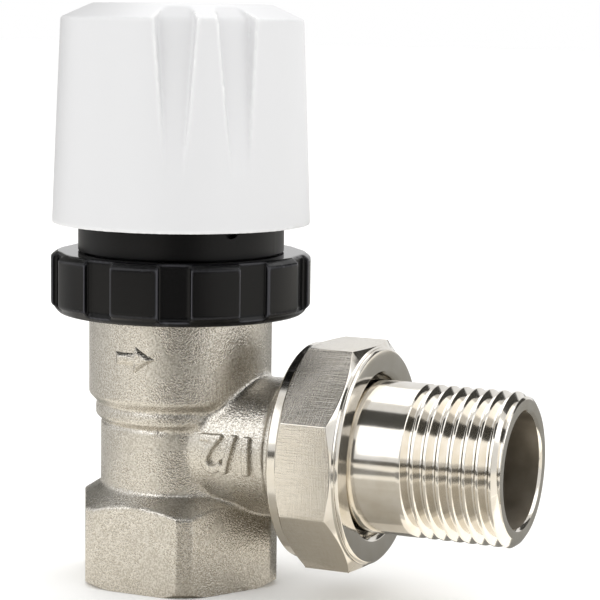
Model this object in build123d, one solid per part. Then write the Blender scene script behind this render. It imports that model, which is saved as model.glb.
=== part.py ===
from build123d import *
import math
import os

os.makedirs("parts", exist_ok=True)

# Angled radiator valve with a hand setting head.
# Millimetres. The origin is the centre of the inlet mouth, +Z runs up the stem, +X out of the outlet.

# Standard threads, drawn as plain cylinders at their major radius
PIPE_R = 20.955 / 2
UNION_R = 26.441 / 2
HEAD_R = 30.0 / 2

# Fits
THREAD_GAP = 0.10
RUN_GAP = 0.05
SEAT_GAP = 0.02
FACE_GAP = 0.05
SEAL_GAP = 0.10

# Broken edges, the lead-in of a thread, and how far a cutter or a blank runs past the face it meets
EDGE = 0.3
LEAD = 0.6
PAST = 1.0
CORNER_OVER = 0.2

# Inlet hexagon
HEX_AF = 27.0
HEX_TURNED_R = 15.0
HEX_FOOT_R = 14.1
HEX_FOOT_H = 0.6
HEX_CORNER_Z = 11.2
INLET_DEPTH = 12.6
INLET_MOUTH_R = 10.92

# Body, from the hexagon up to the head thread
LOWER_R = 11.28
LOWER_Z = 13.6
BAND_R = 12.0
BAND_LOW_Z = 23.85
BAND_SLOPE_H = 1.15
BAND_HIGH_Z = 25.25
NECK_R = 12.97
NECK_LOW_Z = 26.9
HEAD_THREAD_Z = 39.6
BODY_TOP_Z = 44.0
SLOPE_ROUND = 1.0
SHOULDER_ROUND = 0.8

# Seat, flow chamber and bonnet seat inside the body
FLOOR_Z = 14.8
SEAT_Z = 15.8
SEAT_BORE_R = 5.5
SEAT_LIP_R = 6.8
CHAMBER_R = 8.9
BONNET_Z = 29.5
BONNET_R = 10.0
PASSAGE_R = 5.2
PASSAGE_START_X = 6.0
PASSAGE_STEP_X = 13.5
PASSAGE_WIDE_R = 7.2

# Outlet branch and union
OUTLET_Z = 20.06
BRANCH_R = 9.6
COLLAR_R = 10.3
COLLAR_X = 17.5
COLLAR_END_X = 18.8
UNDERCUT_R = 9.9
UNION_START_X = 20.6
UNION_END_X = 26.6
SOCKET_R = 10.0
SOCKET_X = 23.4

# Union nut
NUT_AF = 30.4
NUT_REAR_X = 20.4
NUT_BAND_R = 15.0
NUT_REAR_CORNER_X = 22.86
NUT_FRONT_CORNER_X = 29.0
NUT_SLOPE = 1.0
NUT_FACE_X = 30.82
NUT_HOLE_R = 11.2
NUT_SINK = 0.55
NUT_FLANGE_X = 28.3

# Tailpiece
TAIL_NOSE_X = 23.75
TAIL_COLLAR_R = 11.95
TAIL_SHANK_R = 10.5
TAIL_RELIEF_DEPTH = 0.3
TAIL_RELIEF_W = 1.1
TAIL_THREAD_X = 37.4
TAIL_END_X = 51.48
TAIL_BORE_R = 7.84
TAIL_SEAL_X = 24.6
TAIL_SEAL_W = 1.3
TAIL_SEAL_FLOOR_R = 8.75

# Bonnet and gland
BONNET_HEX_AF = 19.0
BONNET_HEX_H = 3.4
SPRING_FLOOR_Z = 32.0
SPRING_ROOM_R = 5.2
GLAND_LOW_Z = 43.6
GLAND_HEX_AF = 12.0
GLAND_HEX_H = 3.0
STEM_SEAL_Z = (44.2, 45.9)
STEM_SEAL_H = 1.2
STEM_SEAL_R = 3.3
BONNET_SEAL_Z = 31.0
BONNET_SEAL_H = 1.4
BONNET_SEAL_FLOOR_R = 8.9

# Stem, plug and spring, drawn open
STROKE = 3.0
STEM_R = 2.0
STEM_TIP_Z = 58.8
STEM_FOOT_Z = 16.9
SEAL_LOW_Z = SEAT_Z + STROKE + FACE_GAP
SEAL_H = 2.0
SEAL_R = 7.0
PLUG_R = 7.6
PLUG_RIM_UP = 0.7
PLUG_FLANGE_H = 1.0
PLUG_TOP_R = 4.4
PLUG_TOP_Z = 23.4
STEM_SHOULDER_R = 3.2
STEM_SHOULDER_H = 1.0
PLUG_NUT_R = 3.4
WIRE_R = 0.45
SPRING_R = 3.6
SPRING_TOP_Z = 41.2
SPRING_TURNS = 4.5
WASHER_R = 4.6
WASHER_H = 1.1
CLIP_R = 3.4
CLIP_H = 0.7
CLIP_GROOVE = 0.4
CLIP_MOUTH_W = 2.2

# Head: mounting ring, base sleeve, cap and pusher
RING_R = 18.35
RING_LOW_Z = 38.1
RING_TOP_Z = 46.7
RING_RIM_H = 0.8
RING_LIP_Z = 45.05
RING_FLUTES = 10
RING_FLUTE_W = 4.4
RING_FLUTE_DEPTH = 0.95
RING_FLUTE_ANGLE = -65.4
RING_ROUND = 0.45
RING_CROWN_W = 0.9
RING_CROWN_H = 0.7
BASE_COLLAR_R = 14.53
BASE_GROOVE_R = 13.6
BASE_BARB_R = 14.9
BASE_ROOM = 0.73
BASE_COLLAR_Z = 46.9
BASE_STEP_Z = 55.0
BASE_UPPER_R = 13.2
BASE_TOP_Z = 65.0
BASE_NUT_Z = 57.5
BASE_SLOTS = 6
BASE_SLOT_W = 1.6
BASE_STOP_ANGLE = -34.7
BASE_STOP_R = 1.1
BASE_STOP_DEPTH = 1.2
HUB_R = 9.9
CAP_LOW_Z = 50.74
CAP_FOOT_R = 18.19
CAP_SHOULDER_R = 16.97
CAP_SHOULDER_Z = 79.28
CAP_TOP_R = 12.56
CAP_TOP_Z = 81.28
CAP_ROUND = 0.5
CAP_WALL = 1.8
CAP_ROOF = 2.88
HUB_LOW_Z = 60.5
PUSHER_R = 2.6
PUSHER_HEAD_R = 3.8
PUSHER_TOP_Z = 74.0

# Finger flutes of the cap: floor widths at the low tip, the shoulder and the crest on the bevel
FLUTE_ANGLES = (-65.8, -36.6, 114.2, 143.4)
FLUTE_LOW_Z = 57.6
FLUTE_LOW_W = 2.4
FLUTE_TOP_W = 5.0
FLUTE_DEPTH = 1.97
FLUTE_CREST_W = 3.2
FLUTE_CREST_DROP = 0.33
FLUTE_DRAFT = 0.22
FLUTE_REACH = 3.0


def turned(*corners, rounds=()):
    """Solid turned about Z from (radius, height) corners; rounds lists (radius, height, round)."""
    outline = make_face(Polyline(*corners, close=True))
    for r, z, size in rounds:
        corner = outline.vertices().sort_by_distance((r, z, 0))[0]
        outline = fillet(corner, size)
    return revolve(Plane.XZ * outline, Axis.Z)


def prism(across_flats, sides, low, high, turn=0):
    """Regular prism standing on height low."""
    base = RegularPolygon(across_flats / 2, sides, major_radius=False, rotation=turn)
    return Pos(0, 0, low) * extrude(base, high - low)


def hexagon_head(across_flats, hole, low, high):
    """Hexagon with a round hole, its top corners turned off at thirty degrees."""
    face = across_flats / 2 - EDGE
    corner = across_flats / math.sqrt(3) + CORNER_OVER
    drop = (corner - face) * math.tan(math.pi / 6)
    return prism(across_flats, 6, low, high) & turned(
        (hole, low),
        (corner, low),
        (corner, high - drop),
        (face, high),
        (hole, high),
    )


def rod(radius, low, high):
    """Plain cylinder about Z between two heights."""
    return Pos(0, 0, (low + high) / 2) * Cylinder(radius, high - low)


def tube(outer, inner, low, high):
    """Plain ring."""
    return turned((inner, low), (outer, low), (outer, high), (inner, high))


def seal_ring(outer, inner, low, high, edge=EDGE):
    """Rubber ring squeezed in its groove, with its corners taken off."""
    return turned(
        (inner + edge, low),
        (outer - edge, low),
        (outer, low + edge),
        (outer, high - edge),
        (outer - edge, high),
        (inner + edge, high),
        (inner, high - edge),
        (inner, low + edge),
    )


def on_outlet(solid):
    """Lays a solid turned about Z along the outlet axis."""
    return Pos(0, 0, OUTLET_Z) * Rot(0, 90, 0) * solid


# Valve body: hexagon, stepped neck and branch in one forging
hexagon = prism(HEX_AF, 6, 0, LOWER_Z) & turned(
    (0, 0),
    (HEX_FOOT_R, 0),
    (HEX_TURNED_R, HEX_FOOT_H),
    (HEX_TURNED_R, HEX_CORNER_Z),
    (LOWER_R, LOWER_Z),
    (0, LOWER_Z),
)
neck = turned(
    (0, INLET_DEPTH),
    (LOWER_R, INLET_DEPTH),
    (LOWER_R, BAND_LOW_Z - BAND_SLOPE_H),
    (BAND_R, BAND_LOW_Z),
    (BAND_R, BAND_HIGH_Z),
    (NECK_R, NECK_LOW_Z),
    (NECK_R, HEAD_THREAD_Z - LEAD),
    (HEAD_R, HEAD_THREAD_Z + LEAD),
    (HEAD_R, BODY_TOP_Z - LEAD),
    (HEAD_R - LEAD, BODY_TOP_Z),
    (0, BODY_TOP_Z),
    rounds=(
        (LOWER_R, BAND_LOW_Z - BAND_SLOPE_H, SLOPE_ROUND),
        (BAND_R, BAND_LOW_Z, SLOPE_ROUND / 2),
        (BAND_R, BAND_HIGH_Z, SLOPE_ROUND / 2),
        (NECK_R, NECK_LOW_Z, SLOPE_ROUND),
    ),
)
branch = on_outlet(
    turned(
        (0, 0),
        (BRANCH_R, 0),
        (BRANCH_R, COLLAR_X),
        (COLLAR_R, COLLAR_X + EDGE),
        (COLLAR_R, COLLAR_END_X),
        (UNDERCUT_R, COLLAR_END_X + EDGE),
        (UNDERCUT_R, UNION_START_X - EDGE),
        (UNION_R - LEAD, UNION_START_X),
        (UNION_R, UNION_START_X + LEAD),
        (UNION_R, UNION_END_X - LEAD),
        (UNION_R - LEAD, UNION_END_X),
        (0, UNION_END_X),
    )
)
inlet_bore = turned(
    (0, -PAST),
    (INLET_MOUTH_R, -PAST),
    (INLET_MOUTH_R, 0),
    (PIPE_R, INLET_MOUTH_R - PIPE_R),
    (PIPE_R, INLET_DEPTH),
    (0, INLET_DEPTH),
)
seat_bore = rod(SEAT_BORE_R, INLET_DEPTH - PAST, SEAT_Z + PAST)
chamber = turned(
    (SEAT_LIP_R, FLOOR_Z),
    (CHAMBER_R, FLOOR_Z),
    (CHAMBER_R, BONNET_Z),
    (BONNET_R, BONNET_Z),
    (BONNET_R, BODY_TOP_Z + PAST),
    (0, BODY_TOP_Z + PAST),
    (0, SEAT_Z),
    (SEAT_LIP_R - EDGE, SEAT_Z),
)
passage = on_outlet(
    turned(
        (0, PASSAGE_START_X),
        (PASSAGE_R, PASSAGE_START_X),
        (PASSAGE_R, PASSAGE_STEP_X),
        (PASSAGE_WIDE_R, PASSAGE_STEP_X + PASSAGE_WIDE_R - PASSAGE_R),
        (PASSAGE_WIDE_R, SOCKET_X),
        (SOCKET_R, SOCKET_X),
        (SOCKET_R, UNION_END_X - LEAD),
        (SOCKET_R + LEAD, UNION_END_X),
        (SOCKET_R + LEAD, UNION_END_X + PAST),
        (0, UNION_END_X + PAST),
    )
)
forging = hexagon + neck + branch


def on_junction(edge):
    """Is this an inside corner of the forging, where the branch or the hexagon meets the neck?"""
    points = [edge @ share for share in (0, 0.25, 0.5, 0.75, 1)]
    on_branch = all(abs(math.hypot(p.Y, p.Z - OUTLET_Z) - BRANCH_R) < SEAT_GAP for p in points)
    on_waist = all(math.hypot(math.hypot(p.X, p.Y) - LOWER_R, p.Z - LOWER_Z) < SEAT_GAP for p in points)
    return on_waist or (on_branch and points[2].X < COLLAR_X - PAST)


forging = fillet(forging.edges().filter_by(on_junction), SHOULDER_ROUND)
valve_body = forging - inlet_bore - seat_bore - chamber - passage

# Bonnet: threaded barrel below the neck's top, hexagon above it
bonnet_top = BODY_TOP_Z + BONNET_HEX_H
bonnet_bar = BONNET_R - SEAT_GAP
bonnet = turned(
    (STEM_R + RUN_GAP, BONNET_Z + FACE_GAP),
    (bonnet_bar - EDGE, BONNET_Z + FACE_GAP),
    (bonnet_bar, BONNET_Z + FACE_GAP + EDGE),
    (bonnet_bar, BONNET_SEAL_Z),
    (BONNET_SEAL_FLOOR_R, BONNET_SEAL_Z),
    (BONNET_SEAL_FLOOR_R, BONNET_SEAL_Z + BONNET_SEAL_H),
    (bonnet_bar, BONNET_SEAL_Z + BONNET_SEAL_H),
    (bonnet_bar, BODY_TOP_Z),
    (SPRING_ROOM_R, BODY_TOP_Z),
    (SPRING_ROOM_R, SPRING_FLOOR_Z),
    (STEM_R + RUN_GAP, SPRING_FLOOR_Z),
)
bonnet = bonnet + hexagon_head(BONNET_HEX_AF, SPRING_ROOM_R, BODY_TOP_Z, bonnet_top)
bonnet_o_ring = seal_ring(
    BONNET_R - SEAT_GAP,
    BONNET_SEAL_FLOOR_R + SEAT_GAP,
    BONNET_SEAL_Z + SEAL_GAP,
    BONNET_SEAL_Z + BONNET_SEAL_H - SEAL_GAP,
)

# Gland nut: barrel in the bonnet, hexagon on top, two seal grooves in its bore
gland_bar = SPRING_ROOM_R - SEAT_GAP
gland_hole = STEM_R + RUN_GAP
gland_seat = bonnet_top + FACE_GAP
gland_corners = [(gland_bar, GLAND_LOW_Z), (gland_bar, gland_seat), (gland_hole, gland_seat)]
for z in reversed(STEM_SEAL_Z):
    gland_corners += [
        (gland_hole, z + STEM_SEAL_H),
        (STEM_SEAL_R, z + STEM_SEAL_H),
        (STEM_SEAL_R, z),
        (gland_hole, z),
    ]
gland_nut = turned(*gland_corners, (gland_hole, GLAND_LOW_Z))
gland_nut = gland_nut + hexagon_head(GLAND_HEX_AF, gland_hole, gland_seat, gland_seat + GLAND_HEX_H)
stem_seals = [
    seal_ring(STEM_SEAL_R - SEAT_GAP, STEM_R + RUN_GAP / 2, z + SEAL_GAP, z + STEM_SEAL_H - SEAL_GAP)
    for z in STEM_SEAL_Z
]

# Stem with its clip groove and the shoulder that the plug seats on
washer_top = SPRING_TOP_Z + WASHER_H
stem = turned(
    (0, STEM_FOOT_Z),
    (STEM_R - EDGE, STEM_FOOT_Z),
    (STEM_R, STEM_FOOT_Z + EDGE),
    (STEM_R, PLUG_TOP_Z),
    (STEM_SHOULDER_R, PLUG_TOP_Z),
    (STEM_SHOULDER_R, PLUG_TOP_Z + STEM_SHOULDER_H),
    (STEM_R, PLUG_TOP_Z + STEM_SHOULDER_H),
    (STEM_R, washer_top),
    (STEM_R - CLIP_GROOVE, washer_top),
    (STEM_R - CLIP_GROOVE, washer_top + CLIP_H),
    (STEM_R, washer_top + CLIP_H),
    (STEM_R, STEM_TIP_Z - LEAD),
    (STEM_R - LEAD, STEM_TIP_Z),
    (0, STEM_TIP_Z),
)
spring_washer = tube(WASHER_R, STEM_R + SEAT_GAP, SPRING_TOP_Z, washer_top)
clip_low = washer_top + SEAT_GAP
clip_high = washer_top + CLIP_H - SEAT_GAP
clip_mouth = Pos(CLIP_R, 0, washer_top) * Box(2 * CLIP_R, CLIP_MOUTH_W, 4 * CLIP_H)
stem_clip = tube(CLIP_R, STEM_R - CLIP_GROOVE + SEAT_GAP, clip_low, clip_high) - clip_mouth

# Plug: disc holder, rubber disc and the nut under it
plug = turned(
    (STEM_R + SEAT_GAP, SEAL_LOW_Z + SEAL_H),
    (SEAL_R + SEAT_GAP, SEAL_LOW_Z + SEAL_H),
    (SEAL_R + SEAT_GAP, SEAL_LOW_Z + PLUG_RIM_UP),
    (PLUG_R, SEAL_LOW_Z + PLUG_RIM_UP),
    (PLUG_R, SEAL_LOW_Z + SEAL_H + PLUG_FLANGE_H),
    (PLUG_TOP_R, PLUG_TOP_Z),
    (STEM_R + SEAT_GAP, PLUG_TOP_Z),
)
plug_seal = tube(SEAL_R, STEM_R + SEAT_GAP, SEAL_LOW_Z, SEAL_LOW_Z + SEAL_H)
plug_nut = prism(2 * PLUG_NUT_R * math.cos(math.pi / 6), 6, STEM_FOOT_Z + EDGE, SEAL_LOW_Z)
plug_nut = plug_nut - rod(STEM_R + SEAT_GAP, STEM_FOOT_Z, SEAL_LOW_Z + PAST)

# Return spring with ground ends, standing on the bonnet's floor
spring_h = SPRING_TOP_Z - SPRING_FLOOR_Z
coil = Helix(spring_h / SPRING_TURNS, spring_h, SPRING_R, center=(0, 0, SPRING_FLOOR_Z))
wire = sweep(Plane(origin=coil @ 0, z_dir=coil % 0) * Circle(WIRE_R), path=coil, is_frenet=True)
return_spring = wire & tube(
    SPRING_R + 2 * WIRE_R,
    SPRING_R - 2 * WIRE_R,
    SPRING_FLOOR_Z + SEAT_GAP,
    SPRING_TOP_Z - SEAT_GAP,
)

# Union nut: eight flats between two turned ends, flange in front
nut_bore = UNION_R + THREAD_GAP
nut_corner = NUT_AF / 2 / math.cos(math.pi / 8) + CORNER_OVER
union_nut = prism(NUT_AF, 8, NUT_REAR_X, NUT_FACE_X, turn=22.5) & turned(
    (0, NUT_REAR_X),
    (NUT_BAND_R - EDGE, NUT_REAR_X),
    (NUT_BAND_R, NUT_REAR_X + EDGE),
    (NUT_BAND_R, NUT_REAR_CORNER_X - NUT_SLOPE),
    (nut_corner, NUT_REAR_CORNER_X),
    (nut_corner, NUT_FRONT_CORNER_X),
    (NUT_BAND_R, NUT_FRONT_CORNER_X + NUT_SLOPE),
    (NUT_BAND_R, NUT_FACE_X - EDGE),
    (NUT_BAND_R - EDGE, NUT_FACE_X),
    (0, NUT_FACE_X),
)
union_nut = union_nut - turned(
    (0, NUT_REAR_X - PAST),
    (nut_bore + LEAD, NUT_REAR_X - PAST),
    (nut_bore + LEAD, NUT_REAR_X),
    (nut_bore, NUT_REAR_X + LEAD),
    (nut_bore, NUT_FLANGE_X),
    (NUT_HOLE_R, NUT_FLANGE_X),
    (NUT_HOLE_R, NUT_FACE_X - NUT_SINK),
    (NUT_HOLE_R + NUT_SINK, NUT_FACE_X),
    (NUT_HOLE_R + NUT_SINK, NUT_FACE_X + PAST),
    (0, NUT_FACE_X + PAST),
)
union_nut = on_outlet(union_nut)

# Tailpiece: sealing nose, collar under the nut's flange, shank and pipe thread
tail_nose_r = SOCKET_R - THREAD_GAP
tail_collar_x = UNION_END_X + FACE_GAP
tailpiece = on_outlet(
    turned(
        (TAIL_BORE_R, TAIL_NOSE_X),
        (tail_nose_r - LEAD, TAIL_NOSE_X),
        (tail_nose_r, TAIL_NOSE_X + LEAD),
        (tail_nose_r, TAIL_SEAL_X),
        (TAIL_SEAL_FLOOR_R, TAIL_SEAL_X),
        (TAIL_SEAL_FLOOR_R, TAIL_SEAL_X + TAIL_SEAL_W),
        (tail_nose_r, TAIL_SEAL_X + TAIL_SEAL_W),
        (tail_nose_r, tail_collar_x),
        (TAIL_COLLAR_R, tail_collar_x),
        (TAIL_COLLAR_R, NUT_FLANGE_X - FACE_GAP),
        (TAIL_SHANK_R, NUT_FLANGE_X - FACE_GAP),
        (TAIL_SHANK_R, TAIL_THREAD_X - TAIL_RELIEF_W),
        (PIPE_R - TAIL_RELIEF_DEPTH, TAIL_THREAD_X - TAIL_RELIEF_W + TAIL_RELIEF_DEPTH),
        (PIPE_R - TAIL_RELIEF_DEPTH, TAIL_THREAD_X - TAIL_RELIEF_DEPTH),
        (PIPE_R, TAIL_THREAD_X),
        (PIPE_R, TAIL_END_X - LEAD),
        (PIPE_R - LEAD, TAIL_END_X),
        (TAIL_BORE_R + EDGE, TAIL_END_X),
        (TAIL_BORE_R, TAIL_END_X - EDGE),
    )
)
tail_o_ring = on_outlet(
    seal_ring(
        SOCKET_R - RUN_GAP / 2,
        TAIL_SEAL_FLOOR_R + SEAT_GAP,
        TAIL_SEAL_X + SEAL_GAP,
        TAIL_SEAL_X + TAIL_SEAL_W - SEAL_GAP,
    )
)

# Mounting ring: fluted outside, head thread inside, lip over the base sleeve's barb
ring_floor_r = RING_R - RING_FLUTE_DEPTH
flute_length = RING_FLUTE_DEPTH + PAST
flute_cut = Pos(ring_floor_r + flute_length / 2, 0) * Rectangle(flute_length, RING_FLUTE_W)
lobes = Circle(RING_R)
for i in range(RING_FLUTES):
    lobes -= Rot(0, 0, RING_FLUTE_ANGLE + i * 360 / RING_FLUTES) * flute_cut
lobe_corners = lobes.vertices().filter_by(lambda v: math.hypot(v.X, v.Y) > RING_R - RING_FLUTE_DEPTH / 2)
lobes = fillet(lobe_corners, RING_ROUND)
rim_r = ring_floor_r + EDGE
rim_top_z = RING_LOW_Z + RING_RIM_H
mounting_ring = Pos(0, 0, rim_top_z) * extrude(lobes, RING_TOP_Z - rim_top_z)
mounting_ring = mounting_ring + tube(rim_r, HEAD_R, RING_LOW_Z, rim_top_z + EDGE)
mounting_ring = mounting_ring & turned(
    (BASE_GROOVE_R + THREAD_GAP, RING_LOW_Z),
    (rim_r - LEAD, RING_LOW_Z),
    (rim_r, RING_LOW_Z + LEAD),
    (rim_r, rim_top_z),
    (RING_R, rim_top_z + LEAD),
    (RING_R, RING_TOP_Z - RING_CROWN_H),
    (RING_R - RING_CROWN_W, RING_TOP_Z),
    (BASE_GROOVE_R + THREAD_GAP, RING_TOP_Z),
)
ring_bore = HEAD_R + THREAD_GAP
mounting_ring = mounting_ring - turned(
    (0, RING_LOW_Z - PAST),
    (ring_bore + LEAD, RING_LOW_Z - PAST),
    (ring_bore + LEAD, RING_LOW_Z),
    (ring_bore, RING_LOW_Z + LEAD),
    (ring_bore, RING_LIP_Z),
    (0, RING_LIP_Z),
)

# Base sleeve: slotted barb in the ring, collar with a stop-pin hole, threaded top inside the cap
hub_bore = HUB_R + THREAD_GAP
base_bore = BONNET_HEX_AF / math.sqrt(3) + BASE_ROOM
head_base = turned(
    (base_bore, BODY_TOP_Z + FACE_GAP),
    (BASE_BARB_R - EDGE, BODY_TOP_Z + FACE_GAP),
    (BASE_BARB_R, BODY_TOP_Z + FACE_GAP + EDGE),
    (BASE_BARB_R, RING_LIP_Z - FACE_GAP),
    (BASE_GROOVE_R, RING_LIP_Z - FACE_GAP),
    (BASE_GROOVE_R, BASE_COLLAR_Z),
    (BASE_COLLAR_R, BASE_COLLAR_Z),
    (BASE_COLLAR_R, BASE_STEP_Z),
    (BASE_UPPER_R, BASE_STEP_Z + BASE_COLLAR_R - BASE_UPPER_R),
    (BASE_UPPER_R, BASE_TOP_Z),
    (hub_bore, BASE_TOP_Z),
    (hub_bore, BASE_NUT_Z),
    (base_bore, BASE_NUT_Z - base_bore + hub_bore),
)
slot_h = BASE_COLLAR_Z - EDGE - BODY_TOP_Z
slot_length = 2 * (BASE_BARB_R - base_bore + PAST)
slot = Pos(BASE_BARB_R, 0, BODY_TOP_Z + slot_h / 2) * Box(slot_length, BASE_SLOT_W, slot_h)
for i in range(BASE_SLOTS):
    head_base -= Rot(0, 0, (i + 0.5) * 360 / BASE_SLOTS) * slot
stop_hole = Pos(BASE_COLLAR_R, 0, CAP_LOW_Z) * Rot(0, 90, 0) * Cylinder(BASE_STOP_R, 2 * BASE_STOP_DEPTH)
head_base -= Rot(0, 0, BASE_STOP_ANGLE) * stop_hole

# Cap: tapered shell with a beveled top, finger flutes and a hub threaded into the base sleeve
cap = turned(
    (0, CAP_LOW_Z),
    (CAP_FOOT_R, CAP_LOW_Z),
    (CAP_SHOULDER_R, CAP_SHOULDER_Z),
    (CAP_TOP_R, CAP_TOP_Z),
    (0, CAP_TOP_Z),
    rounds=(
        (CAP_FOOT_R, CAP_LOW_Z, CAP_ROUND / 2),
        (CAP_SHOULDER_R, CAP_SHOULDER_Z, CAP_ROUND),
        (CAP_TOP_R, CAP_TOP_Z, CAP_ROUND),
    ),
)


def cap_radius(z):
    """Radius of the cap's tapered side."""
    share = (z - CAP_LOW_Z) / (CAP_SHOULDER_Z - CAP_LOW_Z)
    return CAP_FOOT_R + share * (CAP_SHOULDER_R - CAP_FOOT_R)


def flute_section(z, width, floor_r):
    """Cross section of a flute's cutter, open outward with drafted walls."""
    reach = CAP_FOOT_R + FLUTE_REACH
    wide = width / 2 + FLUTE_DRAFT * (reach - floor_r)
    half = width / 2
    return Pos(0, 0, z) * make_face(
        Polyline((floor_r, -half), (reach, -wide), (reach, wide), (floor_r, half), close=True)
    )


bevel_slope = (CAP_SHOULDER_R - CAP_TOP_R) / (CAP_TOP_Z - CAP_SHOULDER_Z)
crest_r = CAP_TOP_R + FLUTE_CREST_DROP * bevel_slope
floor_r = CAP_SHOULDER_R - FLUTE_DEPTH
low = flute_section(FLUTE_LOW_Z, FLUTE_LOW_W, cap_radius(FLUTE_LOW_Z))
shoulder = flute_section(CAP_SHOULDER_Z, FLUTE_TOP_W, floor_r)
crest = flute_section(CAP_TOP_Z - FLUTE_CREST_DROP, FLUTE_CREST_W, crest_r)
flute = loft([low, shoulder], ruled=True) + loft([shoulder, crest], ruled=True)
for angle in FLUTE_ANGLES:
    cap -= Rot(0, 0, angle) * flute
roof_z = CAP_TOP_Z - CAP_ROOF
cavity = turned(
    (HUB_R, CAP_LOW_Z - PAST),
    (CAP_FOOT_R - CAP_WALL, CAP_LOW_Z - PAST),
    (CAP_FOOT_R - CAP_WALL, CAP_LOW_Z),
    (cap_radius(FLUTE_LOW_Z) - CAP_WALL, FLUTE_LOW_Z),
    (floor_r - CAP_WALL, roof_z),
    (HUB_R, roof_z),
)
hub_end = rod(HUB_R, CAP_LOW_Z - PAST, HUB_LOW_Z)
pusher_socket = rod(PUSHER_R + RUN_GAP, HUB_LOW_Z - PAST, PUSHER_TOP_Z + EDGE)
cap = cap - cavity - hub_end - pusher_socket

# Pusher: steel button whose head bears on the hub's end and presses the stem
pusher = turned(
    (0, STEM_TIP_Z + FACE_GAP),
    (PUSHER_HEAD_R - EDGE, STEM_TIP_Z + FACE_GAP),
    (PUSHER_HEAD_R, STEM_TIP_Z + FACE_GAP + EDGE),
    (PUSHER_HEAD_R, HUB_LOW_Z - FACE_GAP),
    (PUSHER_R, HUB_LOW_Z - FACE_GAP),
    (PUSHER_R, PUSHER_TOP_Z - EDGE),
    (PUSHER_R - EDGE, PUSHER_TOP_Z),
    (0, PUSHER_TOP_Z),
)

pieces = {
    "valve_body": valve_body,
    "bonnet": bonnet,
    "bonnet_o_ring": bonnet_o_ring,
    "gland_nut": gland_nut,
    "stem_o_ring_lower": stem_seals[0],
    "stem_o_ring_upper": stem_seals[1],
    "return_spring": return_spring,
    "stem": stem,
    "spring_washer": spring_washer,
    "stem_clip": stem_clip,
    "plug": plug,
    "plug_seal": plug_seal,
    "plug_nut": plug_nut,
    "head_base": head_base,
    "mounting_ring": mounting_ring,
    "cap": cap,
    "pusher": pusher,
    "union_nut": union_nut,
    "tailpiece": tailpiece,
    "tail_o_ring": tail_o_ring,
}
for name, piece in pieces.items():
    export_step(piece, f"parts/{name}.step")
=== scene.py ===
import math

import bpy
from mathutils import Matrix, Vector


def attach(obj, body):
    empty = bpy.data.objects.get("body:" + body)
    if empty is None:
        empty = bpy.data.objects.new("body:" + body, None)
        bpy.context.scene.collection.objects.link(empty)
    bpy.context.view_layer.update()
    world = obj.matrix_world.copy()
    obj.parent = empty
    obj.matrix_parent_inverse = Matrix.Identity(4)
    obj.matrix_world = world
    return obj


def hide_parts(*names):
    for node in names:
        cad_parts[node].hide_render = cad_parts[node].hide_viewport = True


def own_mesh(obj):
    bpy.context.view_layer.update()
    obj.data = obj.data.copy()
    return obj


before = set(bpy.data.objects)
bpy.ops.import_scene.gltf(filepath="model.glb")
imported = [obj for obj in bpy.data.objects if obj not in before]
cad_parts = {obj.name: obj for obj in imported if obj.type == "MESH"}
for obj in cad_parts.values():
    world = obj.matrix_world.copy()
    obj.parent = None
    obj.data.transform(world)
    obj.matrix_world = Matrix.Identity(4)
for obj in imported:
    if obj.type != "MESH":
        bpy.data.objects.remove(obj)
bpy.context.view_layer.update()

# Valve body: one hot brass forging, shot-blasted and nickel-plated, with a hexagon over the inlet,
# a stepped neck for the head and a branch to the union. Its foot, bores and threads are machined
# after forging, so they are bright and sharp where the skin is soft-edged and grainy.
MM = 0.001
OUTLET_Z = 20.06
HEX_AF = 27.0
HEX_CORNER_R = 15.0
HEX_SHOULDER_Z = 11.2
HEX_TOP_Z = 13.6
WAIST_R = 11.28
WAIST_TOP_Z = 22.4
BAND_R = 12.0
BAND_LOW_Z = 23.6
BAND_TOP_Z = 24.95
NECK_R = 12.97
NECK_LOW_Z = 26.6
NECK_TOP_Z = 40
NECK_ROOT_Z = 10
CREASE = 0.3
BRANCH_R = 9.6
BRANCH_ROOT_X = 2
BRANCH_RIM_R = 10.3
BRANCH_RIM_X = 17.9
BRANCH_NOSE_R = 9.9
BRANCH_NOSE_X = 21
PAST = 1
FORGED_VOXEL = 0.27
FORGED_SMOOTHING = 3


def deselect():
    """Leaves nothing selected, so that the next operator acts on its own piece alone."""
    bpy.ops.object.select_all(action="DESELECT")


def pick(piece):
    """Makes a piece the only one selected."""
    deselect()
    piece.select_set(True)
    bpy.context.view_layer.objects.active = piece


def turn(name, outline, steps=144):
    """A ring or solid turned about Z from the (radius, height) corners of its closed section, in mm."""
    deselect()
    bpy.ops.mesh.primitive_plane_add(size=MM)
    piece = bpy.context.object
    piece.name = name
    bpy.ops.object.mode_set(mode="EDIT")
    bpy.ops.mesh.merge(type="CENTER")
    r, z = outline[0]
    bpy.ops.transform.translate(value=(r * MM, 0, z * MM))
    for next_r, next_z in [*outline[1:], outline[0]]:
        move = ((next_r - r) * MM, 0, (next_z - z) * MM)
        bpy.ops.mesh.extrude_region_move(TRANSFORM_OT_translate={"value": move})
        r, z = next_r, next_z
    bpy.ops.mesh.select_all(action="SELECT")
    bpy.ops.mesh.remove_doubles(threshold=1e-7)
    bpy.ops.mesh.spin(steps=steps, angle=math.tau, center=(0, 0, 0), axis=(0, 0, 1))
    bpy.ops.mesh.select_all(action="SELECT")
    bpy.ops.mesh.remove_doubles(threshold=1e-7)
    bpy.ops.mesh.normals_make_consistent(inside=False)
    bpy.ops.object.mode_set(mode="OBJECT")
    return piece


def settle(piece, location=(0, 0, 0), rotation=(0, 0, 0)):
    """Turns and moves a piece, in mm, and puts that place into its mesh."""
    pick(piece)
    piece.location = [MM * x for x in location]
    piece.rotation_euler = rotation
    bpy.ops.object.transform_apply(location=True, rotation=True, scale=True)
    return piece


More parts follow.
